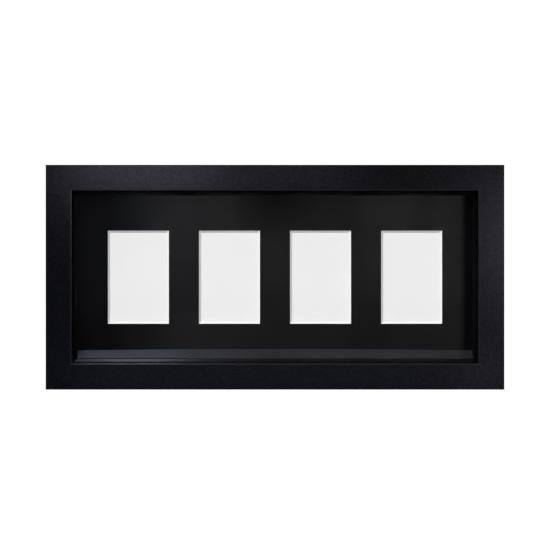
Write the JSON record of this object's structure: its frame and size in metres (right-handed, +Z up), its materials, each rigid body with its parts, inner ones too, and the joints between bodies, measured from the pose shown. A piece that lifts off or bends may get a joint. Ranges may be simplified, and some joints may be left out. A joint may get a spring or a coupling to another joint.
{
  "type": "deep box picture frame",
  "caption": "Wide flat black box frame with glazing and a black bevel-cut mount set back behind it, showing upright windows with blank cards; opens at the back by turn buttons.",
  "frame": {"origin": "on the surface the frame stands on, midway along its width and its depth", "axes": "+X along the frame's width, +Y from its front to its back, +Z up"},
  "size_m": [0.71, 0.0478, 0.348],
  "materials": {
    "moulding": "satin",
    "glazing": "gloss",
    "spacer": "satin",
    "mount": "matte",
    "card": "matte",
    "back": "matte",
    "hardware": "satin",
    "pads": "matte"
  },
  "bodies": {
    "frame": {"rail_top": "moulding", "rail_bottom": "moulding", "rail_left": "moulding", "rail_right": "moulding", "v_nail_bottom_left_outer": "hardware", "v_nail_bottom_left_inner": "hardware", "v_nail_bottom_right_outer": "hardware", "v_nail_bottom_right_inner": "hardware", "v_nail_top_left_outer": "hardware", "v_nail_top_left_inner": "hardware", "v_nail_top_right_outer": "hardware", "v_nail_top_right_inner": "hardware", "glass_pane": "glazing", "spacer_top": "spacer", "spacer_bottom": "spacer", "spacer_left": "spacer", "spacer_right": "spacer", "ledge_strip": "spacer", "mount_board": "mount", "card_1": "card", "card_2": "card", "card_3": "card", "card_4": "card", "back_board": "back", "turn_screw_top_1": "hardware", "turn_screw_top_2": "hardware", "turn_screw_top_3": "hardware", "turn_screw_bottom_1": "hardware", "turn_screw_bottom_2": "hardware", "turn_screw_bottom_3": "hardware", "turn_screw_left": "hardware", "turn_screw_right": "hardware", "hanger_strap_left": "hardware", "hanger_strap_right": "hardware", "hanger_screw_left_1": "hardware", "hanger_screw_left_2": "hardware", "hanger_screw_right_1": "hardware", "hanger_screw_right_2": "hardware", "bumper_left": "pads", "bumper_right": "pads"},
    "turn_button_top_1": {"turn_button_top_1": "hardware"},
    "turn_button_top_2": {"turn_button_top_2": "hardware"},
    "turn_button_top_3": {"turn_button_top_3": "hardware"},
    "turn_button_bottom_1": {"turn_button_bottom_1": "hardware"},
    "turn_button_bottom_2": {"turn_button_bottom_2": "hardware"},
    "turn_button_bottom_3": {"turn_button_bottom_3": "hardware"},
    "turn_button_left": {"turn_button_left": "hardware"},
    "turn_button_right": {"turn_button_right": "hardware"},
    "hanger_ring_left": {"hanger_ring_left": "hardware"},
    "hanger_ring_right": {"hanger_ring_right": "hardware"}
  },
  "joints": [
    {"name": "turn_top_1", "type": "hinge", "parent": "frame", "child": "turn_button_top_1", "pos_m": [0.255, 0.01895, 0.317], "axis": [0, 1, 0], "continuous": true},
    {"name": "turn_top_2", "type": "hinge", "parent": "frame", "child": "turn_button_top_2", "pos_m": [0, 0.01895, 0.317], "axis": [0, 1, 0], "continuous": true},
    {"name": "turn_top_3", "type": "hinge", "parent": "frame", "child": "turn_button_top_3", "pos_m": [-0.255, 0.01895, 0.317], "axis": [0, 1, 0], "continuous": true},
    {"name": "turn_bottom_1", "type": "hinge", "parent": "frame", "child": "turn_button_bottom_1", "pos_m": [-0.255, 0.01895, 0.031], "axis": [0, 1, 0], "continuous": true},
    {"name": "turn_bottom_2", "type": "hinge", "parent": "frame", "child": "turn_button_bottom_2", "pos_m": [0, 0.01895, 0.031], "axis": [0, 1, 0], "continuous": true},
    {"name": "turn_bottom_3", "type": "hinge", "parent": "frame", "child": "turn_button_bottom_3", "pos_m": [0.255, 0.01895, 0.031], "axis": [0, 1, 0], "continuous": true},
    {"name": "turn_left", "type": "hinge", "parent": "frame", "child": "turn_button_left", "pos_m": [-0.324, 0.01895, 0.174], "axis": [0, 1, 0], "continuous": true},
    {"name": "turn_right", "type": "hinge", "parent": "frame", "child": "turn_button_right", "pos_m": [0.324, 0.01895, 0.174], "axis": [0, 1, 0], "continuous": true},
    {"name": "ring_left_swing", "type": "hinge", "parent": "frame", "child": "hanger_ring_left", "pos_m": [-0.335, 0.02115, 0.249], "axis": [1, 0, 0], "range_deg": [0, 180]},
    {"name": "ring_right_swing", "type": "hinge", "parent": "frame", "child": "hanger_ring_right", "pos_m": [0.335, 0.02115, 0.249], "axis": [1, 0, 0], "range_deg": [0, 180]}
  ]
}
